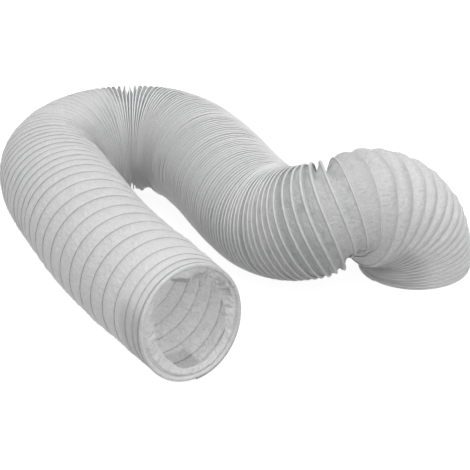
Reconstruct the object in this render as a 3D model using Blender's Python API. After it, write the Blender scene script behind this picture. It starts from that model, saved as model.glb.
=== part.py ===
"""Flexible exhaust hose, as it lies on a floor: a vinyl film tube on one steel wire helix.

Metres, +Z up. The hose lies in an S on the floor z = 0. Its front stretch runs along +Y,
away from the open mouth, and its other end bends down and stands on its rim.
"""
import math

import bmesh
import bpy
from mathutils import Vector

# Hose
HOSE_DIAMETER = 0.102
FILM_WALL = 0.0012
RIM_WIDTH = 0.0060
MOUTH_LEAN = math.radians(6.0)
MOUTH_SWING = math.radians(6.0)
MOUTH_LEAN_REACH = 0.09

# Wire
WIRE_WIDTH = 0.0009
WIRE_HEIGHT = 0.0008
WIRE_CLEARANCE = 0.0003
WIRE_END_GAP_TURNS = 0.5

# Centre line from the open mouth to the rim on the floor: x, y, the height in hose radii, the
# pitch of the turns, and how far the film rises between two turns. The film stands out where
# the hose is drawn out, and folds in (below 0) where it is pushed together.
ROUTE = (
    (-0.130, -0.201, 1.00, 0.0130, 0.0014),
    (-0.132, -0.169, 1.00, 0.0135, 0.0014),
    (-0.134, -0.135, 1.00, 0.0135, 0.0014),
    (-0.137, -0.102, 1.00, 0.0130, 0.0014),
    (-0.138, -0.069, 1.00, 0.0125, 0.0014),
    (-0.138, -0.036, 1.00, 0.0120, 0.0014),
    (-0.136, -0.003, 1.00, 0.0115, 0.0014),
    (-0.133, 0.031, 1.00, 0.0115, 0.0014),
    (-0.130, 0.064, 1.00, 0.0120, 0.0005),
    (-0.125, 0.097, 1.00, 0.0140, -0.0020),
    (-0.113, 0.127, 1.00, 0.0160, -0.0040),
    (-0.090, 0.150, 1.00, 0.0170, -0.0050),
    (-0.058, 0.161, 1.00, 0.0170, -0.0050),
    (-0.025, 0.156, 1.00, 0.0170, -0.0050),
    (0.001, 0.138, 1.00, 0.0170, -0.0050),
    (0.015, 0.108, 1.00, 0.0170, -0.0050),
    (0.018, 0.075, 1.00, 0.0170, -0.0050),
    (0.017, 0.042, 1.00, 0.0170, -0.0050),
    (0.014, 0.009, 1.00, 0.0170, -0.0050),
    (0.012, -0.024, 1.00, 0.0170, -0.0050),
    (0.013, -0.057, 1.02, 0.0170, -0.0050),
    (0.023, -0.087, 1.12, 0.0160, -0.0050),
    (0.047, -0.106, 1.27, 0.0150, -0.0040),
    (0.079, -0.111, 1.33, 0.0130, 0.0000),
    (0.108, -0.110, 1.16, 0.0120, 0.0020),
    (0.129, -0.110, 0.76, 0.0120, 0.0025),
    (0.137, -0.110, 0.35, 0.0120, 0.0025),
    (0.138, -0.110, 0.00, 0.0120, 0.0020),
)
# Most that the film rises between two turns, as a share of the gap between them
STEEPEST_RISE = 0.2
# Length of line over which the lean of the rings evens out in a bend
BEND_REACH = 0.045
# Length of line over which the last rings come to lie level
FOOT_REACH = 0.012

DOWN = Vector((0, 0, -1))

# Fineness of the mesh
SIDES = 16
POINTS_PER_MARK = 20


def smooth_point(marks, index, share):
    """Point of the Catmull-Rom curve between marks index and index + 1."""
    start, end = marks[index], marks[index + 1]
    before = marks[index - 1] if index > 0 else start * 2 - end
    after = marks[index + 2] if index + 2 < len(marks) else end * 2 - start
    return 0.5 * (2 * start + (end - before) * share
                  + (2 * before - 5 * start + 4 * end - after) * share ** 2
                  + (3 * start - before - 3 * end + after) * share ** 3)


def ease(share):
    """Smooth step from 0 to 1."""
    share = max(0.0, min(1.0, share))
    return share * share * (3 - 2 * share)


class HoseLine:
    """The hose's centre line, read by turns of the wire helix."""

    def __init__(self):
        marks = [Vector((x, y, height * HOSE_DIAMETER / 2)) for x, y, height, _, _ in ROUTE]
        self.places, pitches, self.rises = [], [], []
        for index in range(len(marks) - 1):
            last_span = index == len(marks) - 2
            for step in range(POINTS_PER_MARK + (1 if last_span else 0)):
                share = step / POINTS_PER_MARK
                self.places.append(smooth_point(marks, index, share))
                pitches.append(ROUTE[index][3] * (1 - share) + ROUTE[index + 1][3] * share)
                self.rises.append(ROUTE[index][4] * (1 - share) + ROUTE[index + 1][4] * share)
        self.runs, self.turns = [0.0], [0.0]
        for index in range(1, len(self.places)):
            step = (self.places[index] - self.places[index - 1]).length
            self.runs.append(self.runs[-1] + step)
            pitch = (pitches[index] + pitches[index - 1]) / 2
            self.turns.append(self.turns[-1] + step / pitch)
        self.count = round(self.turns[-1])
        self.turns = [turn * self.count / self.turns[-1] for turn in self.turns]
        self.axes = self.ring_axes()

    def even_normal(self, index):
        """Direction of the line near a point, evened out so that the rings fan round a bend."""
        last = len(self.places) - 1
        total = Vector((0, 0, 0))
        for other in range(last + 1):
            ahead = self.places[min(last, other + 1)] - self.places[max(0, other - 1)]
            below_floor = 2 * self.runs[last] - self.runs[other]
            for run, heading in ((self.runs[other], ahead.normalized()), (below_floor, DOWN)):
                away = min(BEND_REACH, abs(run - self.runs[index]))
                total += heading * (1 + math.cos(math.pi * away / BEND_REACH))
        return total.normalized()

    def ring_axes(self):
        """Normal, side and up of the ring at each point, carried along without a twist."""
        axes = []
        up = Vector((0, 0, 1))
        length = self.runs[-1]
        for index, run in enumerate(self.runs):
            normal = self.even_normal(index)
            near_foot = ease(1 - (length - run) / FOOT_REACH)
            normal = normal.lerp(DOWN, near_foot).normalized()
            near_mouth = 1 - ease(run / MOUTH_LEAN_REACH)
            side = normal.cross(up).normalized()
            normal -= side * math.tan(MOUTH_SWING * near_mouth)
            normal -= up * math.tan(MOUTH_LEAN * near_mouth)
            normal.normalize()
            up = (up - normal * up.dot(normal)).normalized()
            axes.append((normal, normal.cross(up), up))
        return axes

    def at(self, turn):
        """Centre, normal, side, up and rise at a turn of the helix."""
        low, high = 0, len(self.turns) - 1
        while high - low > 1:
            middle = (low + high) // 2
            if self.turns[middle] <= turn:
                low = middle
            else:
                high = middle
        share = (turn - self.turns[low]) / (self.turns[high] - self.turns[low])
        normal, side, up = (self.axes[low][k].lerp(self.axes[high][k], share).normalized()
                            for k in range(3))
        place = self.places[low].lerp(self.places[high], share)
        rise = self.rises[low] + (self.rises[high] - self.rises[low]) * share
        return place, normal, side, up, rise


def seat_radius():
    """Outer radius of the film under the wire."""
    return HOSE_DIAMETER / 2 - WIRE_HEIGHT - 2 * WIRE_CLEARANCE


def ring_point(line, turn, side_index, radius):
    """A point on the ring through this turn."""
    place, _, side, up, _ = line.at(turn)
    angle = 2 * math.pi * side_index / SIDES
    return place + (side * math.cos(angle) + up * math.sin(angle)) * radius


def film_rise(line, turn, side_index):
    """How far the film stands out or folds in half-way between two turns of wire.

    Inside a bend the turns lie close, and the film can stand out only a little.
    """
    radius = seat_radius()
    before = ring_point(line, max(0.0, turn - 0.5), side_index, radius)
    after = ring_point(line, min(float(line.count), turn + 0.5), side_index, radius)
    return min(line.at(turn)[4], (after - before).length * STEEPEST_RISE)


def film_point(line, row, side_index, is_inner):
    """Key and place of a film point: rows 0, 2, 4 lie under the wire, the others between.

    A row climbs one turn of the helix in one round, and both rims cut it off flat.
    """
    steps_per_turn = 2 * SIDES
    step = row * SIDES + side_index * 2
    last_step = line.count * steps_per_turn
    is_rim = step <= 0 or step >= last_step
    step = max(0, min(last_step, step))
    turn = step / steps_per_turn
    if is_rim:
        radius = HOSE_DIAMETER / 2 - (RIM_WIDTH if is_inner else 0)
    else:
        radius = seat_radius() + (film_rise(line, turn, side_index) if row % 2 else 0)
        radius -= FILM_WALL if is_inner else 0
    return (is_inner, side_index, step), ring_point(line, turn, side_index, radius)


def film_shell(line):
    """The film: an outer and an inner skin, joined at the two rims."""
    mesh = bmesh.new()
    made = {}

    def vertex(row, side_index, is_inner):
        if side_index == SIDES:
            row, side_index = row + 2, 0
        key, place = film_point(line, row, side_index, is_inner)
        if key not in made:
            made[key] = mesh.verts.new(place)
        return made[key]

    for is_inner in (False, True):
        for row in range(-2, 2 * line.count):
            for side_index in range(SIDES):
                a = vertex(row, side_index, is_inner)
                b = vertex(row + 1, side_index, is_inner)
                c = vertex(row + 1, side_index + 1, is_inner)
                d = vertex(row, side_index + 1, is_inner)
                for corners in ((a, b, c), (a, c, d)):
                    if len(set(corners)) == 3:
                        mesh.faces.new(corners)
    for row in (-2, 2 * line.count):
        for side_index in range(SIDES):
            mesh.faces.new((vertex(row, side_index, False), vertex(row, side_index + 1, False),
                            vertex(row, side_index + 1, True), vertex(row, side_index, True)))
    bmesh.ops.recalc_face_normals(mesh, faces=mesh.faces)
    return mesh


def wire_helix(line):
    """The wire: a three-cornered bar on the film's seat, its edge down, round every turn."""
    mesh = bmesh.new()
    first = round(WIRE_END_GAP_TURNS * SIDES)
    last = line.count * SIDES - first
    foot = seat_radius() + WIRE_CLEARANCE
    sections = []
    for step in range(first, last + 1):
        turn = step / SIDES
        edge = ring_point(line, turn, step % SIDES, foot)
        back = ring_point(line, turn, step % SIDES, foot + WIRE_HEIGHT)
        half = line.at(turn)[1] * (WIRE_WIDTH / 2)
        sections.append([mesh.verts.new(place) for place in (edge, back + half, back - half)])
    for now, following in zip(sections, sections[1:]):
        for corner in range(3):
            beside = (corner + 1) % 3
            mesh.faces.new((now[corner], now[beside], following[beside]))
            mesh.faces.new((now[corner], following[beside], following[corner]))
    mesh.faces.new(reversed(sections[0]))
    mesh.faces.new(sections[-1])
    bmesh.ops.recalc_face_normals(mesh, faces=mesh.faces)
    return mesh


def make_material(name, color, roughness, metallic):
    material = bpy.data.materials.new(name)
    material.use_nodes = True
    shader = material.node_tree.nodes["Principled BSDF"]
    shader.inputs["Base Color"].default_value = (*color, 1.0)
    shader.inputs["Roughness"].default_value = roughness
    shader.inputs["Metallic"].default_value = metallic
    return material


def add_object(name, shape, material):
    mesh = bpy.data.meshes.new(name)
    shape.to_mesh(mesh)
    shape.free()
    mesh.materials.append(material)
    mesh.shade_smooth()
    mesh.set_sharp_from_angle(angle=math.radians(35))
    bpy.context.scene.collection.objects.link(bpy.data.objects.new(name, mesh))


def main():
    for leftover in list(bpy.data.objects):
        bpy.data.objects.remove(leftover, do_unlink=True)
    line = HoseLine()
    vinyl = make_material("vinyl_film", (0.72, 0.73, 0.73), 0.45, 0.0)
    steel = make_material("spring_steel", (0.55, 0.56, 0.58), 0.35, 1.0)
    add_object("film_tube", film_shell(line), vinyl)
    add_object("wire_helix", wire_helix(line), steel)


main()
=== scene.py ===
"""Looks of the flexible exhaust hose: its vinyl film in folds on a wire helix, lying in an S.

Metres, +Z up. A place along the hose is its run, measured on the centre line from the open mouth.
A place round it is its angle: 0 is the underside, and 90 degrees the right as seen from the mouth
inwards. A turn of the wire is read as a running number h along the whole helix, so that h = 12.25
lies a quarter of a round past wire 12. The film between wire h and wire h + 1 is read by its share
of the way across.
"""
import math

import bmesh
import bpy
import numpy as np
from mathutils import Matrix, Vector


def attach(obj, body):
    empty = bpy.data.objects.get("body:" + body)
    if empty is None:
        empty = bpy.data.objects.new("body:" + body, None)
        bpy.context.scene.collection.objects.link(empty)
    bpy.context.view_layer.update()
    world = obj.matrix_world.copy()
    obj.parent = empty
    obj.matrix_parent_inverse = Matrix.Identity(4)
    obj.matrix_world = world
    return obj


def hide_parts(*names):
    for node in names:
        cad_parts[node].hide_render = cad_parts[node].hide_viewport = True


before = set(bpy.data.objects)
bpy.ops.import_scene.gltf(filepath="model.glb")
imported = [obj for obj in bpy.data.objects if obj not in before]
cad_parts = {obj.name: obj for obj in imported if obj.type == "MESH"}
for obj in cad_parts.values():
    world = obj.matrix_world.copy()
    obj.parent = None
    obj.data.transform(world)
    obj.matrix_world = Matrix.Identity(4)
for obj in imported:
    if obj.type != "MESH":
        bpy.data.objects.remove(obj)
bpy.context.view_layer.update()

# Centre line from the open mouth to the rim on the floor, the same points as in the part.
ROUTE = np.array((
    (-0.130, -0.201, 0.051), (-0.132, -0.169, 0.051), (-0.134, -0.135, 0.051),
    (-0.137, -0.102, 0.051), (-0.138, -0.069, 0.051), (-0.138, -0.036, 0.051),
    (-0.136, -0.003, 0.051), (-0.133, 0.031, 0.051), (-0.130, 0.064, 0.051),
    (-0.125, 0.097, 0.051), (-0.113, 0.127, 0.051), (-0.090, 0.150, 0.051),
    (-0.058, 0.161, 0.051), (-0.025, 0.156, 0.051), (0.001, 0.138, 0.051),
    (0.015, 0.108, 0.051), (0.018, 0.075, 0.051), (0.017, 0.042, 0.051),
    (0.014, 0.009, 0.051), (0.012, -0.024, 0.051), (0.013, -0.057, 0.052),
    (0.023, -0.087, 0.057), (0.047, -0.106, 0.065), (0.079, -0.111, 0.068),
    (0.108, -0.110, 0.059), (0.129, -0.110, 0.039), (0.137, -0.110, 0.018),
    (0.138, -0.110, 0.000)))
POINTS_PER_MARK = 20
# The rings face the way the line runs on average, over this far to either side.
BEND_SHARE = 0.045
# The last ring lies flat on the floor, and the rings before it turn to it over this far.
FOOT_REACH = 0.012
# The mouth faces a little upwards and to the right, and the rings behind it straighten out.
MOUTH_LEAN = math.radians(6.0)
MOUTH_SWING = math.radians(6.0)
MOUTH_LEAN_REACH = 0.09
HOSE_DIAMETER = 0.102

# The wire under the film, and how many sides its ridge has in section.
WIRE_LINE = HOSE_DIAMETER / 2 - 0.0009
WIRE_SIDES = 5
# The ridge takes this share of the gap between two wires, and is never thinner than this.
RIDGE_SHARE = 0.23
THINNEST_RIDGE = 0.0003
# A thin ridge stands out by this much, and more where its inner side would show in the mouth.
RIDGE_OUT = 0.00035
RIDGE_OUT_IN_MOUTH = 0.00030
# A ridge thicker than this is drawn whole and white, where a thinner one is cut off inside.
PROUD_RIDGE = (0.00050, 0.00015)
# Lowest points above the floor
FILM_FLOOR = 0.0002
WIRE_FLOOR = 0.0001

# How the film lies along the hose: run, pitch of the wire, height of the film between two wires
# (below 0 it is folded in), how flat the fold's top is (1 is a V, and below 1 a narrow slit), how
# far it is crumpled, how much the gaps between the wires vary, and how fat the film lies round
# the wire.
FOLDS = np.array((
    (0.000, 0.0073, 0.0006, 4.0, 0.0002, 0.00, 0.00045),
    (0.009, 0.0085, 0.0007, 4.0, 0.0002, 0.00, 0.00050),
    (0.018, 0.0105, 0.0009, 4.0, 0.0003, 0.00, 0.00050),
    (0.030, 0.0170, 0.0012, 5.0, 0.0004, 0.00, 0.00050),
    (0.040, 0.0192, 0.0014, 5.0, 0.0005, 0.06, 0.00050),
    (0.185, 0.0190, 0.0014, 5.0, 0.0005, 0.06, 0.00050),
    (0.215, 0.0160, 0.0014, 4.0, 0.0005, 0.06, 0.00050),
    (0.232, 0.0110, 0.0014, 3.0, 0.0004, 0.08, 0.00050),
    (0.270, 0.0092, 0.0013, 2.6, 0.0004, 0.08, 0.00050),
    (0.300, 0.0076, 0.0011, 2.4, 0.0003, 0.08, 0.00045),
    (0.380, 0.0066, 0.0009, 2.0, 0.0003, 0.12, 0.00045),
    (0.405, 0.0052, 0.0007, 1.8, 0.0003, 0.16, 0.00045),
    (0.418, 0.0040, -0.0010, 1.4, 0.0003, 0.20, 0.00055),
    (0.430, 0.0035, -0.0028, 1.2, 0.0003, 0.22, 0.00060),
    (0.445, 0.0037, -0.0042, 1.0, 0.0003, 0.22, 0.00060),
    (0.470, 0.0040, -0.0046, 1.0, 0.0003, 0.22, 0.00065),
    (0.490, 0.0036, -0.0038, 1.1, 0.0003, 0.26, 0.00065),
    (0.510, 0.0034, -0.0030, 1.2, 0.0002, 0.32, 0.00065),
    (0.600, 0.0034, -0.0032, 1.2, 0.0002, 0.32, 0.00065),
    (0.650, 0.0034, -0.0036, 1.1, 0.0002, 0.24, 0.00065),
    (0.685, 0.0035, -0.0024, 0.8, 0.0002, 0.18, 0.00085),
    (0.700, 0.0040, -0.0024, 0.7, 0.0003, 0.16, 0.00120),
    (0.712, 0.0052, -0.0024, 0.7, 0.0005, 0.16, 0.00145),
    (0.722, 0.0064, -0.0022, 0.7, 0.0006, 0.16, 0.00160),
    (0.735, 0.0085, -0.0020, 0.8, 0.0006, 0.16, 0.00150),
    (0.745, 0.0100, -0.0012, 0.9, 0.0006, 0.10, 0.00120),
    (0.756, 0.0100, 0.0010, 2.0, 0.0005, 0.06, 0.00090),
    (0.775, 0.0110, 0.0044, 2.0, 0.0006, 0.06, 0.00060),
    (0.790, 0.0100, 0.0042, 2.0, 0.0005, 0.06, 0.00050),
    (0.805, 0.0078, 0.0034, 2.0, 0.0005, 0.06, 0.00050),
    (0.825, 0.0058, 0.0022, 2.0, 0.0005, 0.08, 0.00050),
    (0.845, 0.0044, 0.0014, 2.0, 0.0003, 0.08, 0.00050),
    (0.862, 0.0036, 0.0012, 2.0, 0.0003, 0.08, 0.00050)))
RUN, PITCH, RISE, BOX, CRUMPLE, LOOSE, RIDGE = range(7)
# Distance over which the spacing of the wires varies
LOOSE_STEP = 0.011

# Points round one turn of the helix
STEPS = 114
# Where the rows of film points lie between two wires, closer together by the wires. The first
# number is the pitch above which the row applies.
ROWS = ((0.0125, (0, 0.03, 0.10, 0.22, 0.36, 0.50, 0.64, 0.78, 0.90, 0.97)),
        (0.0070, (0, 0.05, 0.16, 0.32, 0.50, 0.68, 0.84, 0.95)),
        (0.0050, (0, 0.08, 0.26, 0.50, 0.74, 0.92)),
        (0.0, (0, 0.25, 0.50, 0.75)))
WELD_DISTANCE = 1e-7
# Width of one turn of film, and of the hem, in the patterns of the material.
TURN_WIDTH = 0.019
HEM_WIDTH = 0.02

# Where the film is folded in far more than the table says: run, angle in degrees, reach along
# the hose and round it in degrees, and depth.
NOTCHES = ((0.4300, 205.0, 0.0130, 36.0, 0.0085),
           (0.4600, 28.0, 0.0200, 30.0, 0.0060),
           (0.7335, 198.0, 0.0105, 34.0, 0.0125),
           (0.7440, 20.0, 0.0090, 36.0, 0.0060))
# Where the hose is squeezed in as a whole, wires and film, measured the same way.
SQUEEZES = ((0.7480, 18.0, 0.0130, 36.0, 0.0115),)
# Where the wires stand unevenly, measured the same way, and how soon that changes along the run.
RAGGED = ((0.4550, 38.0, 0.0320, 36.0, 0.0050),
          (0.7400, 20.0, 0.0120, 30.0, 0.0060))
RAGGED_STEP = 0.0021
# Where a patch of painted shade lies inside, seen through the mouth, measured without a depth.
PAINTED_SHADE_PATCH = (0.0320, 5.0, 0.0150, 15.0)

# Stretches where something sets in, each as the run where it starts and the reach to its full
# strength. A pair of these comes in and goes out again.
FRONT_ENDS = (0.340, 0.06)
RIDGE_TURNS_WHITE = (0.300, 0.06)
MIDDLE = (0.550, 0.05)
SHALLOW_FOLDS = (0.665, 0.03)
ARCH = (0.735, 0.02)
ARCH_FLANK = (0.745, 0.02)
ARCH_RIDGES = (0.755, 0.02)
FOOT_FAN = (0.768, 0.03)
FOOT_RIDGES = (0.768, 0.02)
PUSHED_TOGETHER = ((0.400, 0.03), (0.655, 0.02))
LEANING_WIRES = ((0.660, 0.045), (0.742, 0.022))
SKEWED_FOLDS = ((0.660, 0.03), (0.745, 0.02))
DULL_AND_PAINTED_SHADE_BEND = ((0.660, 0.04), (0.745, 0.03))
DULL_RIDGES = ((0.660, 0.04), (0.770, 0.03))
TOP_PUFFS = ((0.742, 0.006), (0.762, 0.02))
# Stretches that start at the mouth, each as the run where they end and the reach before it.
SEEN_INSIDE = (0.120, 0.02)
CRUMPLED_INSIDE = (0.120, 0.03)
FAINT_LINES = (0.085, 0.03)
MOUTH_SHADE = (0.040, 0.01)
BEFORE_MIDDLE = (0.550, 0.05)
# Gaps between two wires, each as the width where something ends and the reach before it.
NARROW_BEND = (0.0024, 0.001)
PINCHED_FILM = (0.0034, 0.002)
PINCHED_RIDGES = (0.0030, 0.0018)
DENSE_RIDGES = (0.0030, 0.0015)
# Directions round the hose in radians: what shows inside the mouth, for its form and for its
# lines, the flank by the mouth that gets painted shade, and the underside.
SEEN_SIDE = 0.8
FAINT_SIDE = 0.9
SHADED_SIDE = -1.0
UNDERSIDE = 0.0

# At the start of the arch the wires lean, with the underside ahead.
WIRE_LEAN = 0.0075
# Puffed film needs this gap between the wires, with its reach, and folds in by this much below it.
OPEN_GAP = (0.0025, 0.004)
CLOSED_FOLD = 0.0022
# Puffed and folded film lose height where the gap is narrower than these.
FULL_PUFF_GAP = 0.004
FULL_FOLD_GAP = 0.0022
# The first puffs of the arch stand this much higher on top, and all its puffs are this share
# flatter below.
TOP_PUFF = 0.0030
FLANK_CUT = 0.6
# The film inside the mouth is crumpled by this much more.
MOUTH_CRUMPLE = 0.0011
# A fold this deep gets the full painted shade of a fold.
DEEP_FOLD = 0.0040
FULL_CRUMPLE = 0.0014
# Loose film between the wires of a fold stands unevenly by this share, and drifts along by this
# share of the gap.
UNEVEN_FOLDS = 0.5
DRIFT = 0.10

# Shades of the film are shares of the way to its grey, most of them painted shade. The line by a
# wire, painted shade of its crease and of the wire's shadow, partly the real grey of doubled film;
# its width; and how much fainter it is where it shows inside the mouth:
LINE_SHADE = 0.12
LINE_WIDTH = 0.0008
FAINT_CUT = 0.8
# Painted shade on the far edge of a puff, outside and inside:
LEE_SHADE = 0.26
LEE_SHADE_INSIDE = 0.34
# Painted shade in the right-hand bend, partly its duller crumpled film, with its darker dashes,
# painted shade on its underside, and how far from a ridge they are in full:
BEND_DULLNESS_AND_PAINTED_SHADE = 0.27
DASH_SHADE = 0.25
PAINTED_BEND_UNDERSIDE_SHADE = 0.18
LIGHT_MARGIN = 0.0028
# Painted shade in the fan at the foot, and on the flank by the mouth:
FAN_SHADE = 0.95
FLANK_SHADE = 0.50
# How much less painted shade the folds get in the pushed-together stretch, on its underside, and
# in the narrow gaps before the middle.
PUSHED_CUT = 0.22
UNDERSIDE_CUT = 0.34
NARROW_CUT = 0.7
# Past the middle the folds get painted shade to this strength, from this depth on and over this
# reach.
SHALLOW_STRENGTH = 0.6
SHALLOW_SUNK = (0.0010, 0.0014)
# How much darker the ridges are in the right-hand bend, where dense, in the arch, and at its foot,
# the last as painted shade.
DULL_RIDGE_CUT = 0.62
DENSE_RIDGE_CUT = 0.4
ARCH_RIDGE_CUT = 0.2
FOOT_RIDGE_PAINTED_SHADE = 0.9

# Inner edge of the turned-in hem: angle in degrees, and width of the hem there.
HEM_EDGE = np.array((
    (11, 0.0086), (33, 0.0088), (56, 0.0105), (76, 0.0143), (105, 0.0147), (127, 0.0140),
    (148, 0.0129), (165, 0.0168), (180, 0.0160), (194, 0.0130), (201, 0.0085), (213, 0.0063),
    (226, 0.0089), (239, 0.0127), (261, 0.0162), (276, 0.0176), (306, 0.0170), (325, 0.0140),
    (348, 0.0101)))
HEM_POINTS = 480
# The hem rolls over the ring in a bead up to this share of its rows, and is a flap past it.
HEM_BEAD = 0.0019
NOSE_SHARE = 0.24
HEM_ROWS = np.concatenate((np.linspace(0, NOSE_SHARE, 13), np.linspace(0.27, 1, 34)))[:, None]
# The flap is rumpled about this angle in degrees, over this reach in radians.
RUMPLED_SIDE = 135.0
RUMPLED_REACH = 0.62
# Waves round the mouth in the hem's edge and in its coarse and fine pleats.
EDGE_WAVES = 22
PLEAT_WAVES = 56
FINE_PLEAT_WAVES = 110
# How far the hem's edge wavers, and where rumpled; how deep the groove behind the bead is; how
# far the flap sits forward by the bead and back at its edge; how high the pleats are, and how
# much higher where rumpled.
EDGE_WAVER = 0.0006
RUMPLED_WAVER = 0.0012
HEM_GROOVE = 0.0024
FLAP_FORWARD = 0.0012
FLAP_BACK = 0.0036
PLEAT_HEIGHT = 0.0008
RUMPLED_HEIGHT = 0.0030
# Painted shadow where the flap's edge hangs free: angle and reach in degrees, and strength. The
# width of that painted shadow follows.
PAINTED_HEM_SHADOWS = ((187, 14, 1.0), (161, 9, 0.6))
PAINTED_HEM_SHADOW_WIDTH = 0.0052

SKIN_TINT = 0.80
# The hem is the same film painted lighter, as painted light.
HEM_PAINTED_LIGHT_TINT = 0.86
# Darker clouds of the film, partly its own mottle and partly painted shade of fine wrinkles.
CLOUD_AND_WRINKLE_SHADE = 0.80
# Bluish grey painted into the folds as painted shade.
PAINTED_FOLD_SHADE_GREY = (0.34, 0.375, 0.39, 1)
# Grey for painted shade on the film, partly also the real grey of doubled and crumpled film.
GREY_AND_PAINTED_SHADE = (0.26, 0.26, 0.26, 1)
GLOW = (0.87, 0.87, 0.87, 1)
GLOW_SHARE = 0.38
RIDGE_GREY = (0.40, 0.40, 0.405, 1)
RIDGE_WHITE = (0.76, 0.76, 0.76, 1)

FLOOR_SIZE = 14
FLOOR_DROP = 0.0002
FLOOR_GREY = (0.30, 0.30, 0.30, 1)
FLOOR_GLOW = 0.88
SKY_FROM = -0.4
SKY_LOW = 0.34
SKY_HIGH = 0.85
# Soft lights: name, place, width and power.
SOFTBOXES = (("softbox_top", (0.1, -0.4, 2.4), 1.8, 27.5),
             ("softbox_front", (-0.2, -1.9, 0.9), 1.6, 7.5),
             ("softbox_left", (-1.9, -0.3, 0.8), 1.4, 2.5))
CAMERA_PLACE = Vector((-0.8317, -1.6702, 0.9598))
CAMERA_TARGET = Vector((0.0188, 0.0154, 0.0))
CAMERA_LENS = 174.0
SENSOR_WIDTH = 36.0


def smooth_line(marks):
    """Catmull-Rom curve through the marks."""
    padded = np.vstack((2 * marks[0] - marks[1], marks, 2 * marks[-1] - marks[-2]))
    share = (np.arange(POINTS_PER_MARK) / POINTS_PER_MARK)[:, None]
    points = []
    for before, start, end, after in zip(padded, padded[1:], padded[2:], padded[3:]):
        points.append(0.5 * (2 * start + (end - before) * share
                             + (2 * before - 5 * start + 4 * end - after) * share ** 2
                             + (3 * start - before - 3 * end + after) * share ** 3))
    return np.vstack(points + [marks[-1:]])


def unit(vectors):
    return vectors / np.linalg.norm(vectors, axis=-1, keepdims=True)


def ease(share):
    """Smooth step from 0 to 1."""
    share = np.clip(share, 0.0, 1.0)
    return share * share * (3 - 2 * share)


def past(value, stretch):
    """0 before the stretch starts, easing to 1 over its reach."""
    start, reach = stretch
    return ease((value - start) / reach)


def up_to(value, stretch):
    """1 well before the stretch ends, easing to 0 over its reach."""
    end, reach = stretch
    return ease((end - value) / reach)


def within(run, pair):
    """1 between two stretches, easing in over the first and out over the second."""
    return past(run, pair[0]) * (1 - past(run, pair[1]))


def facing(angle, centre, least, reach):
    """1 on the side of the hose that faces the centre direction, easing to 0 away from it."""
    return ease((np.cos(angle - centre) - least) / reach)


def turned(angle, degrees):
    """Angle from a direction given in degrees, between half a turn back and half a turn on."""
    return np.mod(angle - math.radians(degrees) + math.pi, 2 * math.pi) - math.pi


def nearness(run, angle, place, centre, run_reach, angle_reach):
    """1 at a place on the hose, falling to 0 at about the given reach along and round it."""
    away = turned(angle, centre)
    return np.exp(-((run - place) / run_reach) ** 4 - (away / math.radians(angle_reach)) ** 4)


def mirrored(turn, waves):
    """Place in a noise pattern round the mouth, mirrored halfway so that the pattern closes."""
    return np.abs(turn * waves - waves / 2)


def lattice_noise(seed, *coords):
    """Smooth noise from -1 to 1 over one or two coordinates, one value per whole number."""
    rng = np.random.default_rng(seed)
    table = rng.uniform(-1, 1, (1024, 64))
    coords = [np.asarray(c, float) for c in coords]
    if len(coords) == 1:
        coords.append(np.zeros_like(coords[0]))
    first, second = np.broadcast_arrays(*coords)
    a, b = np.floor(first).astype(int), np.floor(second).astype(int)
    fa, fb = ease(first - a), ease(second - b)
    low = table[a % 1024, b % 64] * (1 - fa) + table[(a + 1) % 1024, b % 64] * fa
    high = table[a % 1024, (b + 1) % 64] * (1 - fa) + table[(a + 1) % 1024, (b + 1) % 64] * fa
    return low * (1 - fb) + high * fb


class HoseLine:
    """Centre line with the axes of the ring through each of its points."""

    def __init__(self):
        self.places = smooth_line(ROUTE)
        steps = np.linalg.norm(np.diff(self.places, axis=0), axis=1)
        self.runs = np.concatenate(([0.0], np.cumsum(steps)))
        self.length = self.runs[-1]
        self.normals, self.sides, self.ups = self.ring_axes()

    def even_normals(self):
        """Directions of the line, evened out so that the rings fan round a bend."""
        ahead = np.vstack((self.places[1:], self.places[-1:]))
        behind = np.vstack((self.places[:1], self.places[:-1]))
        headings = unit(ahead - behind)
        down = np.tile((0.0, 0.0, -1.0), (len(headings), 1))
        total = np.zeros_like(headings)
        for runs, directions in ((self.runs, headings), (2 * self.length - self.runs, down)):
            away = np.clip(np.abs(runs[None, :] - self.runs[:, None]), 0, BEND_SHARE)
            total += (1 + np.cos(np.pi * away / BEND_SHARE)) @ directions
        return unit(total)

    def ring_axes(self):
        normals, sides, ups = [], [], []
        up = np.array((0.0, 0.0, 1.0))
        down = -up
        for run, normal in zip(self.runs, self.even_normals()):
            near_foot = ease(1 - (self.length - run) / FOOT_REACH)
            normal = unit(normal * (1 - near_foot) + down * near_foot)
            near_mouth = 1 - ease(run / MOUTH_LEAN_REACH)
            side = unit(np.cross(normal, up))
            normal = unit(normal - side * math.tan(MOUTH_SWING * near_mouth)
                          - up * math.tan(MOUTH_LEAN * near_mouth))
            up = unit(up - normal * (up @ normal))
            normals.append(normal)
            sides.append(np.cross(normal, up))
            ups.append(up)
        return np.array(normals), np.array(sides), np.array(ups)

    def read(self, values, run):
        return np.stack([np.interp(run, self.runs, values[:, k]) for k in range(3)], axis=-1)

    def ring(self, run, angle, radius):
        """Points on the rings at these runs."""
        place, side, up = (self.read(values, run) for values in (self.places, self.sides, self.ups))
        across, above = np.sin(angle)[..., None], -np.cos(angle)[..., None]
        return place + (unit(side) * across + unit(up) * above) * np.asarray(radius)[..., None]

    def gap(self, start, end, angle):
        """Distance between the wires at two runs."""
        return np.linalg.norm(self.ring(end, angle, WIRE_LINE)
                              - self.ring(start, angle, WIRE_LINE), axis=-1)


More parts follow.
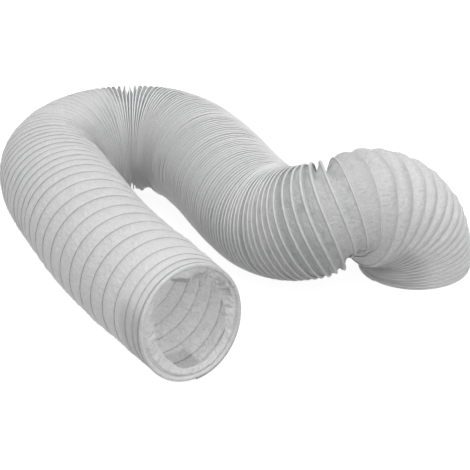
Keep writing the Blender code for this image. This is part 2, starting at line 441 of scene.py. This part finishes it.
class Film:
    """The wire helix on the centre line and the film that hangs on it.

    Its noise is read along the helix, so a factor on h is a number of waves in one turn.
    """

    def __init__(self, line):
        self.line = line
        self.dense = np.linspace(0, line.length, 20001)
        pitch = self.fold(PITCH, self.dense)
        loose = self.fold(LOOSE, self.dense)
        rough = pitch / np.clip(1 + loose * lattice_noise(5, self.dense / LOOSE_STEP), 0.4, 2.0)
        turns = np.concatenate(([0.0], np.cumsum(np.diff(self.dense) / rough[1:])))
        self.count = int(round(turns[-1]))
        self.turns = turns * self.count / turns[-1]

    def fold(self, column, run):
        return np.interp(run, FOLDS[:, RUN], FOLDS[:, column])

    def run_of(self, h):
        """Run of the wire at h. Past either end it lies on the rim."""
        base = np.interp(h, self.turns, self.dense)
        pitch, loose = self.fold(PITCH, base), self.fold(LOOSE, base)
        inside = ease(np.minimum(h, self.count - h))
        wander = lattice_noise(11, h * 3.7) + 0.6 * lattice_noise(12, h * 7.1)
        lean = WIRE_LEAN * within(base, LEANING_WIRES) * np.cos(2 * math.pi * h)
        return np.clip(base + lean + pitch * loose * 0.5 * wander * inside, 0, self.line.length)

    def wire_line(self, run, angle):
        """Distance of the wire from the centre line."""
        uneven = np.abs(lattice_noise(51, run / RAGGED_STEP))
        inward = 0.0
        for *place, depth in SQUEEZES:
            inward = inward + depth * nearness(run, angle, *place)
        for *place, depth in RAGGED:
            inward = inward + depth * uneven * nearness(run, angle, *place)
        return WIRE_LINE - inward

    def puff(self, turn, h, run, angle, gap):
        """How far the film stands out between two wires, or in where it is below 0."""
        pitch, rise = self.fold(PITCH, run), self.fold(RISE, run)
        wide = past(gap, OPEN_GAP)
        puff = np.where(rise > 0, rise * wide - CLOSED_FOLD * (1 - wide), rise)
        full_gap = np.where(rise > 0, np.minimum(pitch, FULL_PUFF_GAP), FULL_FOLD_GAP)
        puff *= np.clip(gap / full_gap, 0, 1)
        flank = past(run, ARCH_FLANK) * facing(angle, UNDERSIDE, -0.6, 1)
        puff *= 1 - FLANK_CUT * flank * (rise > 0)
        on_top = ease((-np.cos(angle) - 0.2) / 0.6)
        puff = puff + TOP_PUFF * within(run, TOP_PUFFS) * on_top
        slack = np.clip(-rise / 0.002, 0, 1)
        return puff * (1 + UNEVEN_FOLDS * slack * lattice_noise(24, turn, h * 2.3))

    def point(self, turn, step, share):
        """Film point in turn number `turn`, `step` steps round, `share` across to the next."""
        h = turn + step / STEPS
        angle = 2 * math.pi * step / STEPS
        start, end = self.run_of(h), self.run_of(h + 1)
        run = start + (end - start) * share
        gap = self.line.gap(start, end, angle)
        puff, box = self.puff(turn, h, run, angle, gap), self.fold(BOX, run)
        notch = 0.0
        for *place, depth in NOTCHES:
            near = nearness(run, angle, *place)
            puff = puff * (1 - near) - depth * near
            box = box * (1 - near) + near
            notch = np.maximum(notch, near)
        skew = 1 - 0.4 * within(run, SKEWED_FOLDS)
        hump = 1 - np.abs(2 * share ** skew - 1) ** np.maximum(box, 1)
        hump = hump ** (1 / np.minimum(box, 1))
        crumple = self.fold(CRUMPLE, run)
        crumple = crumple + (MOUTH_CRUMPLE * up_to(run, CRUMPLED_INSIDE)
                             * facing(angle, SEEN_SIDE, 0, 0.5))
        open_share = np.sin(math.pi * share)
        wave = 0.8 - 2.4 * np.abs(lattice_noise(21, h * 46.0 + share * 3.0, turn * 3.0 + share * 1.6))
        wave += 0.5 * lattice_noise(22, h * 60.0 - share * 2.5, turn * 3.0 + share * 3.0)
        wire_line = self.wire_line(run, angle)
        radius = wire_line + puff * hump + crumple * wave * open_share
        run = run + gap * DRIFT * lattice_noise(23, h * 11.0, turn * 2.0) * open_share
        place = self.line.ring(np.clip(run, 0, self.line.length), angle, radius)
        place[..., 2] = np.maximum(place[..., 2], FILM_FLOOR)
        dash = ease((lattice_noise(31, h * 42.0, turn * 5.0 + share * 3.0) - 0.35) / 0.25)
        state = (painted_fold_shade(run, angle, gap, wire_line - radius, notch),
                 film_grey_and_painted_shade(run, angle, share, gap, dash),
                 np.clip(crumple / FULL_CRUMPLE, 0, 1))
        return place, np.stack(np.broadcast_arrays(*state), axis=-1)


def painted_fold_shade(run, angle, gap, sunk, notch):
    """Painted shade of the folds, from 0 to 1, by how deep in a fold the film lies."""
    depth = np.clip(sunk / DEEP_FOLD, 0, 1) * (1 - notch)
    paler = PUSHED_CUT + UNDERSIDE_CUT * facing(angle, UNDERSIDE, -0.5, 1)
    depth *= 1 - paler * within(run, PUSHED_TOGETHER)
    depth *= 1 - NARROW_CUT * up_to(gap, NARROW_BEND) * up_to(run, BEFORE_MIDDLE)
    late = past(run, SHALLOW_FOLDS)
    least, reach = SHALLOW_SUNK
    shallow = SHALLOW_STRENGTH * np.clip((sunk - least) / reach, 0, 1)
    return depth * (1 - late) + shallow * late * (1 - notch)


def painted_patch_shade(run, angle):
    """1 on the patch of painted shade inside the mouth, with a hard edge."""
    place, centre, run_reach, angle_reach = PAINTED_SHADE_PATCH
    along = ease(5 - 5 * np.abs(run - place) / run_reach)
    return along * ease(5 - 5 * np.abs(turned(angle, centre)) / math.radians(angle_reach))


def film_grey_and_painted_shade(run, angle, share, gap, dash):
    """How grey the film is, 0 to 1, mostly painted shade: by the wires, behind puffs, in patches."""
    from_wire = np.minimum(share, 1 - share) * gap
    # Painted shade of the crease and of the wire's shadow by each wire, partly doubled film.
    line = LINE_SHADE * np.exp(-(from_wire / LINE_WIDTH) ** 2)
    line = line * (1 - FAINT_CUT * up_to(run, FAINT_LINES) * facing(angle, FAINT_SIDE, 0, 0.5))
    inside = up_to(run, SEEN_INSIDE) * facing(angle, SEEN_SIDE, 0, 0.5)
    # Painted shade on the far side of each puff, stronger inside the mouth.
    lee = LEE_SHADE * (1 - inside) * np.clip((share - 0.50) / 0.50, 0, 1) ** 1.5
    lee = lee + LEE_SHADE_INSIDE * inside * np.clip((share - 0.10) / 0.90, 0, 1) ** 1.3
    strength = 1 - 0.7 * past(run, FRONT_ENDS) + 0.7 * past(run, ARCH)
    # Painted shade in the right-hand bend with darker dashes, partly duller crumpled film, darker
    # below.
    bend_fan_and_flank_shade = BEND_DULLNESS_AND_PAINTED_SHADE + DASH_SHADE * dash + PAINTED_BEND_UNDERSIDE_SHADE * facing(angle, UNDERSIDE, -0.3, 1)
    bend_fan_and_flank_shade = bend_fan_and_flank_shade * within(run, DULL_AND_PAINTED_SHADE_BEND) * (0.2 + 0.8 * ease(from_wire / LIGHT_MARGIN))
    # Painted shade in the fan at the foot.
    fan = past(run, FOOT_FAN) * facing(angle, UNDERSIDE, 0.4, 0.3)
    between = np.maximum(np.sin(math.pi * share), up_to(gap, PINCHED_FILM))
    bend_fan_and_flank_shade = bend_fan_and_flank_shade + FAN_SHADE * fan * (0.3 + 0.7 * between)
    # Painted shade on the flank by the mouth.
    by_mouth = up_to(run, MOUTH_SHADE) * facing(angle, SHADED_SIDE, 0.4, 0.3)
    bend_fan_and_flank_shade = bend_fan_and_flank_shade + FLANK_SHADE * by_mouth
    return np.maximum(np.maximum(line, lee) * strength + bend_fan_and_flank_shade, painted_patch_shade(run, angle))


def rows_for(pitch):
    return next(shares for least, shares in ROWS if pitch > least)


def zip_faces(left, left_shares, right, right_shares):
    """Triangles between two columns of vertices whose rows lie at different shares."""
    faces, a, b = [], 0, 0
    while a < len(left) - 1 or b < len(right) - 1:
        next_a = left_shares[a + 1] if a < len(left) - 1 else 2
        next_b = right_shares[b + 1] if b < len(right) - 1 else 2
        if next_a <= next_b:
            faces.append((left[a], left[a + 1], right[b]))
            a += 1
        else:
            faces.append((left[a], right[b + 1], right[b]))
            b += 1
    return faces


def film_skin(film):
    """One sheet from rim to rim, its rows along the helix."""
    steps = np.arange(STEPS)
    places, states, own, columns, all_shares, total = [], [], [], [], [], 0
    for turn in range(-1, film.count + 1):
        middle = film.run_of(np.array([min(max(turn + 0.5, 0), film.count)]))[0]
        shares = rows_for(film.fold(PITCH, middle))
        share = np.array(shares)[:, None]
        all_shares.append(shares + (1,))
        place, state = film.point(turn, steps[None, :], share)
        places.append(place.reshape(-1, 3))
        states.append(state.reshape(-1, 3))
        along = (turn + steps / STEPS + share) * TURN_WIDTH
        own.append(film_place(2 * math.pi * steps / STEPS, along))
        columns.append(total + np.arange(share.size * STEPS).reshape(share.size, STEPS))
        total += share.size * STEPS
    faces = []
    for index in range(len(columns) - 1):
        grid = np.vstack((columns[index], columns[index + 1][:1]))
        faces += grid_faces(grid)
        left = grid[:, -1].tolist()
        right = columns[index + 1][:, 0].tolist()
        right_shares = all_shares[index + 1]
        if index + 2 < len(columns):
            right.append(int(columns[index + 2][0, 0]))
        else:
            right, right_shares = right[:1], (0,)
        faces += zip_faces(left, all_shares[index], right, right_shares)
    piece = new_piece("film_skin", np.vstack(places), faces)
    add_values(piece.data, "film_state", np.vstack(states))
    add_values(piece.data, "film_place", np.vstack(own))
    clean(piece, WELD_DISTANCE)
    return piece


def film_place(angle, along):
    """Place on an upright tube, for patterns that follow the film and not the bends."""
    around = WIRE_LINE * np.cos(angle), WIRE_LINE * np.sin(angle)
    return np.stack(np.broadcast_arrays(*around, along), axis=-1).reshape(-1, 3)


def grid_faces(grid):
    """Four-sided faces between the rows and columns of a grid of vertex numbers."""
    corners = grid[:-1, :-1], grid[1:, :-1], grid[1:, 1:], grid[:-1, 1:]
    return np.stack(corners, axis=-1).reshape(-1, 4).tolist()


def new_piece(name, places, faces):
    mesh = bpy.data.meshes.new(name)
    mesh.from_pydata(np.asarray(places).tolist(), [], faces)
    mesh.shade_smooth()
    piece = bpy.data.objects.new(name, mesh)
    bpy.context.scene.collection.objects.link(piece)
    return piece


def add_values(mesh, name, values):
    """Per-point values for the materials: how the film lies, or its place on the flat film."""
    attribute = mesh.attributes.new(name, "FLOAT_VECTOR", "POINT")
    attribute.data.foreach_set("vector", np.asarray(values, dtype=np.float32).reshape(-1))


def clean(piece, distance):
    """Joins the points that meet where the film runs out on a rim."""
    shape = bmesh.new()
    shape.from_mesh(piece.data)
    bmesh.ops.remove_doubles(shape, verts=shape.verts, dist=distance)
    bmesh.ops.dissolve_degenerate(shape, dist=distance, edges=shape.edges)
    shape.to_mesh(piece.data)
    shape.free()


def ridge_light(run, gap, proud):
    """How white the ridge is, from 0 to 1: grey where the steel shows, white where bunched."""
    light = np.maximum(proud, past(run, RIDGE_TURNS_WHITE))
    light = light * (1 - DULL_RIDGE_CUT * within(run, DULL_RIDGES))
    light = light * (1 - DENSE_RIDGE_CUT * up_to(gap, DENSE_RIDGES) * past(run, MIDDLE))
    light = light * (1 - ARCH_RIDGE_CUT * past(run, ARCH_RIDGES))
    # Painted shade on the pinched ridges at the foot.
    return light * (1 - FOOT_RIDGE_PAINTED_SHADE * up_to(gap, PINCHED_RIDGES) * past(run, FOOT_RIDGES))


def wire_helix(film):
    """The wire with the film over it: a fine ridge round every turn."""
    h = np.arange(0, film.count * STEPS + 1) / STEPS
    angle = 2 * math.pi * h
    run = film.run_of(h)
    gap = film.line.gap(film.run_of(h - 0.5), film.run_of(h + 0.5), angle)
    thick = np.clip(RIDGE_SHARE * gap, THINNEST_RIDGE, film.fold(RIDGE, run))
    proud = past(thick, PROUD_RIDGE)
    hidden = up_to(run, SEEN_INSIDE) * facing(angle, SEEN_SIDE, -0.2, 1)
    outward = RIDGE_OUT * (1 - proud) + RIDGE_OUT_IN_MOUTH * hidden
    centre = film.line.ring(run, angle, film.wire_line(run, angle) + outward)
    out = unit(film.line.ring(run, angle, WIRE_LINE) - film.line.ring(run, angle, WIRE_LINE - 0.01))
    across = unit(np.cross(unit(np.gradient(centre, axis=0)), out))
    around = 2 * math.pi * np.arange(WIRE_SIDES) / WIRE_SIDES
    above = np.maximum(np.cos(around)[None, :], -0.3 - 0.7 * proud[:, None])
    places = centre[:, None, :] + thick[:, None, None] * (
        out[:, None, :] * above[:, :, None]
        + across[:, None, :] * np.sin(around)[None, :, None])
    places[..., 2] = np.maximum(places[..., 2], WIRE_FLOOR)
    index = np.arange(len(h) * WIRE_SIDES).reshape(len(h), WIRE_SIDES)
    faces = grid_faces(np.hstack((index, index[:, :1])))
    faces += [index[0][::-1].tolist(), index[-1].tolist()]
    piece = new_piece("coated_wire", places.reshape(-1, 3), faces)
    state = np.stack(np.broadcast_arrays(ridge_light(run, gap, proud), 0.0, 0.0), axis=-1)
    add_values(piece.data, "film_state", np.repeat(state, WIRE_SIDES, axis=0))
    return piece


def mouth_hem(film):
    """The film's cut end at the open mouth, turned over the first ring and back inside."""
    angle = 2 * math.pi * np.arange(HEM_POINTS) / HEM_POINTS
    turn = angle / (2 * math.pi)
    nose = np.clip(HEM_ROWS / NOSE_SHARE, 0, 1)
    flap = np.clip((HEM_ROWS - NOSE_SHARE) / (1 - NOSE_SHARE), 0, 1)
    width = np.interp(np.degrees(angle), HEM_EDGE[:, 0], HEM_EDGE[:, 1], period=360)
    width = width + EDGE_WAVER * lattice_noise(41, mirrored(turn, EDGE_WAVES)) - 2 * HEM_BEAD
    rumpled = np.exp(-(turned(angle, RUMPLED_SIDE) / RUMPLED_REACH) ** 4)
    pleat = lattice_noise(43, mirrored(turn, PLEAT_WAVES), flap * 2.2)
    fine = lattice_noise(44, mirrored(turn, FINE_PLEAT_WAVES) + flap * 2, flap * 3.1)
    pleat = pleat + 0.6 * fine
    swing = math.pi * nose
    waver = RUMPLED_WAVER * rumpled * lattice_noise(45, flap * 5, turn * 30) * flap
    radius = HOSE_DIAMETER / 2 - HEM_BEAD + HEM_BEAD * np.cos(swing) - width * flap + waver
    low = 0.25 + 0.75 * facing(angle, UNDERSIDE, -0.3, 1)
    groove = HEM_GROOVE * low * ease(flap / 0.08) * (1 - 0.9 * ease((flap - 0.08) / 0.25))
    pleats = (PLEAT_HEIGHT + RUMPLED_HEIGHT * rumpled) * (pleat + 0.6) * ease(flap / 0.4)
    run = (HEM_BEAD - HEM_BEAD * np.sin(swing) - FLAP_FORWARD * ease(flap / 0.3) + groove
           + FLAP_BACK * flap ** 2 + pleats)
    ahead = np.minimum(run, 0)[..., None] * film.line.normals[0]
    places = film.line.ring(np.maximum(run, 0), angle + 0 * HEM_ROWS, radius) + ahead
    places[..., 2] = np.maximum(places[..., 2], WIRE_FLOOR)
    index = np.arange(places[..., 0].size).reshape(-1, HEM_POINTS)
    faces = grid_faces(np.hstack((index, index[:, :1])))
    piece = new_piece("mouth_hem", places.reshape(-1, 3), faces)
    # Painted shade in the pleats on the rumpled side, and painted shadow under the flap's free edge.
    painted_hem_shade = rumpled * np.clip(-pleat, 0, 1) * ease(flap / 0.3)
    hidden = ease((PAINTED_HEM_SHADOW_WIDTH - (1 - flap) * width) / 0.0008)
    for centre, reach, strength in PAINTED_HEM_SHADOWS:
        away = np.abs(np.degrees(angle) - centre) / reach
        painted_hem_shade = np.maximum(painted_hem_shade, strength * hidden * ease(6 - 6 * away))
    state = np.stack(np.broadcast_arrays(0.0, painted_hem_shade, 0.3 + 0.5 * rumpled), axis=-1)
    add_values(piece.data, "film_state", state)
    add_values(piece.data, "film_place", film_place(angle, -HEM_WIDTH * HEM_ROWS))
    return piece


def new_material(name):
    """A material with its node lists and its main shader."""
    material = bpy.data.materials.new(name)
    material.use_nodes = True
    nodes, links = material.node_tree.nodes, material.node_tree.links
    return material, nodes, links, nodes["Principled BSDF"]


def point_value(nodes, name):
    """Node that reads one of the pieces' per-point values."""
    node = nodes.new("ShaderNodeAttribute")
    node.attribute_name = name
    return node


def state_parts(nodes, links):
    """Painted shade of the folds on X, grey and painted shade on Y, and crumple on Z."""
    parts = nodes.new("ShaderNodeSeparateXYZ")
    links.new(point_value(nodes, "film_state").outputs["Vector"], parts.inputs[0])
    return parts


def film_colour(nodes, links, place, parts, tint):
    """Cloudy white with partly painted wrinkle shade, and painted shade deep in a fold and by the
    wires.
    """
    cloud_and_wrinkle_noise = nodes.new("ShaderNodeTexNoise")
    cloud_and_wrinkle_noise.inputs["Scale"].default_value = 380.0
    cloud_and_wrinkle_noise.inputs["Detail"].default_value = 6.0
    cloud_and_wrinkle_noise.inputs["Roughness"].default_value = 0.8
    links.new(place.outputs["Vector"], cloud_and_wrinkle_noise.inputs["Vector"])
    shade = nodes.new("ShaderNodeValToRGB")
    dark, light = shade.color_ramp.elements
    dark.position = 0.34
    dark.color = (tint * CLOUD_AND_WRINKLE_SHADE, tint * CLOUD_AND_WRINKLE_SHADE, tint * CLOUD_AND_WRINKLE_SHADE, 1)
    light.position = 0.58
    light.color = (tint, tint, tint, 1)
    links.new(cloud_and_wrinkle_noise.outputs["Fac"], shade.inputs["Fac"])
    base = shade.outputs["Color"]
    for output, grey in (("X", PAINTED_FOLD_SHADE_GREY), ("Y", GREY_AND_PAINTED_SHADE)):
        mix = nodes.new("ShaderNodeMix")
        mix.data_type = "RGBA"
        mix.inputs[7].default_value = grey
        links.new(parts.outputs[output], mix.inputs[0])
        links.new(base, mix.inputs[6])
        base = mix.outputs[2]
    return base


def film_creases(nodes, links, place, parts):
    """Fine creases drawn out round the hose, stronger where the film is crumpled."""
    creases = nodes.new("ShaderNodeTexNoise")
    creases.inputs["Scale"].default_value = 330.0
    creases.inputs["Detail"].default_value = 5.0
    creases.inputs["Distortion"].default_value = 0.5
    drawn = nodes.new("ShaderNodeMapping")
    drawn.inputs["Scale"].default_value = (1.0, 1.0, 0.65)
    links.new(place.outputs["Vector"], drawn.inputs["Vector"])
    links.new(drawn.outputs["Vector"], creases.inputs["Vector"])
    strong = nodes.new("ShaderNodeMapRange")
    strong.inputs["To Min"].default_value = 0.55
    strong.inputs["To Max"].default_value = 1.8
    links.new(parts.outputs["Z"], strong.inputs["Value"])
    height = nodes.new("ShaderNodeMath")
    height.operation = "MULTIPLY"
    links.new(creases.outputs["Fac"], height.inputs[0])
    links.new(strong.outputs[0], height.inputs[1])
    bump = nodes.new("ShaderNodeBump")
    bump.inputs["Strength"].default_value = 0.8
    bump.inputs["Distance"].default_value = 0.0022
    links.new(height.outputs[0], bump.inputs["Height"])
    return bump.outputs["Normal"]


def vinyl_material(name, tint):
    """White film: cloudy, painted shade in folds and by wires, finely wrinkled, translucent."""
    material, nodes, links, shader = new_material(name)
    shader.inputs["Roughness"].default_value = 0.46
    shader.inputs["Specular IOR Level"].default_value = 0.38
    place = point_value(nodes, "film_place")
    parts = state_parts(nodes, links)
    links.new(film_colour(nodes, links, place, parts, tint), shader.inputs["Base Color"])
    normal = film_creases(nodes, links, place, parts)
    links.new(normal, shader.inputs["Normal"])
    glow = nodes.new("ShaderNodeBsdfTranslucent")
    glow.inputs["Color"].default_value = GLOW
    links.new(normal, glow.inputs["Normal"])
    blend = nodes.new("ShaderNodeMixShader")
    blend.inputs[0].default_value = GLOW_SHARE
    links.new(shader.outputs[0], blend.inputs[1])
    links.new(glow.outputs[0], blend.inputs[2])
    links.new(blend.outputs[0], nodes["Material Output"].inputs["Surface"])
    return material


def ridge_material():
    """Film drawn over the wire: grey where the steel shows through, white where it is bunched."""
    material, nodes, links, shader = new_material("wire_ridge")
    shader.inputs["Roughness"].default_value = 0.42
    parts = state_parts(nodes, links)
    place = nodes.new("ShaderNodeTexCoord")
    grain = nodes.new("ShaderNodeTexNoise")
    grain.inputs["Scale"].default_value = 160.0
    links.new(place.outputs["Object"], grain.inputs["Vector"])
    patchy = nodes.new("ShaderNodeMapRange")
    patchy.inputs["To Min"].default_value = -0.25
    patchy.inputs["To Max"].default_value = 0.25
    links.new(grain.outputs["Fac"], patchy.inputs["Value"])
    total = nodes.new("ShaderNodeMath")
    total.operation = "ADD"
    links.new(parts.outputs["X"], total.inputs[0])
    links.new(patchy.outputs[0], total.inputs[1])
    shade = nodes.new("ShaderNodeValToRGB")
    shade.color_ramp.elements[0].color = RIDGE_GREY
    shade.color_ramp.elements[1].color = RIDGE_WHITE
    links.new(total.outputs[0], shade.inputs["Fac"])
    links.new(shade.outputs["Color"], shader.inputs["Base Color"])
    return material


def studio_world(scene):
    """Even white surroundings, brighter above than below."""
    world = bpy.data.worlds.new("studio_world")
    scene.world = world
    world.use_nodes = True
    nodes, links = world.node_tree.nodes, world.node_tree.links
    nodes["Background"].inputs["Color"].default_value = (1, 1, 1, 1)
    direction = nodes.new("ShaderNodeTexCoord")
    height = nodes.new("ShaderNodeSeparateXYZ")
    links.new(direction.outputs["Generated"], height.inputs[0])
    sky = nodes.new("ShaderNodeMapRange")
    sky.inputs["From Min"].default_value = SKY_FROM
    sky.inputs["To Min"].default_value = SKY_LOW
    sky.inputs["To Max"].default_value = SKY_HIGH
    links.new(height.outputs["Z"], sky.inputs["Value"])
    links.new(sky.outputs[0], nodes["Background"].inputs["Strength"])


def studio_floor():
    """Plain pale floor that glows a little and throws no light on the hose."""
    bpy.ops.mesh.primitive_plane_add(size=FLOOR_SIZE, location=(0, 0, -FLOOR_DROP))
    floor = bpy.context.object
    floor.name = "studio_floor"
    white, _, _, shader = new_material("floor_white")
    shader.inputs["Base Color"].default_value = FLOOR_GREY
    shader.inputs["Roughness"].default_value = 0.9
    shader.inputs["Emission Color"].default_value = (1, 1, 1, 1)
    shader.inputs["Emission Strength"].default_value = FLOOR_GLOW
    floor.data.materials.append(white)
    floor.visible_diffuse = False


def aim(thing, place, target):
    """Puts a light or camera in its place, looking at the target."""
    thing.location = place
    thing.rotation_euler = (target - place).to_track_quat("-Z", "Y").to_euler()
    bpy.context.scene.collection.objects.link(thing)


def studio():
    """Plain pale floor, three soft lights and the camera of the photograph."""
    scene = bpy.context.scene
    scene.view_settings.view_transform = "Standard"
    scene.view_settings.look = "None"
    studio_world(scene)
    studio_floor()
    for name, place, size, power in SOFTBOXES:
        data = bpy.data.lights.new(name, "AREA")
        data.shape = "DISK"
        data.size = size
        data.energy = power
        aim(bpy.data.objects.new(name, data), Vector(place), Vector((0, 0, 0)))
    data = bpy.data.cameras.new("photo_camera")
    data.lens = CAMERA_LENS
    data.sensor_width = SENSOR_WIDTH
    camera = bpy.data.objects.new("photo_camera", data)
    aim(camera, CAMERA_PLACE, CAMERA_TARGET)
    scene.camera = camera


studio()
film = Film(HoseLine())
skin = film_skin(film)
wire = wire_helix(film)
hem = mouth_hem(film)
# The hem's film is a lighter copy of the vinyl, as painted light.
hem_vinyl_painted_light = vinyl_material("hem_film_painted_light", HEM_PAINTED_LIGHT_TINT)
vinyl = vinyl_material("vinyl_film", SKIN_TINT)
ridge = ridge_material()
for piece, material in ((skin, vinyl), (wire, ridge), (hem, hem_vinyl_painted_light)):
    piece.data.materials.append(material)
    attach(piece, "root")
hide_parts("film_tube")
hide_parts("wire_helix")
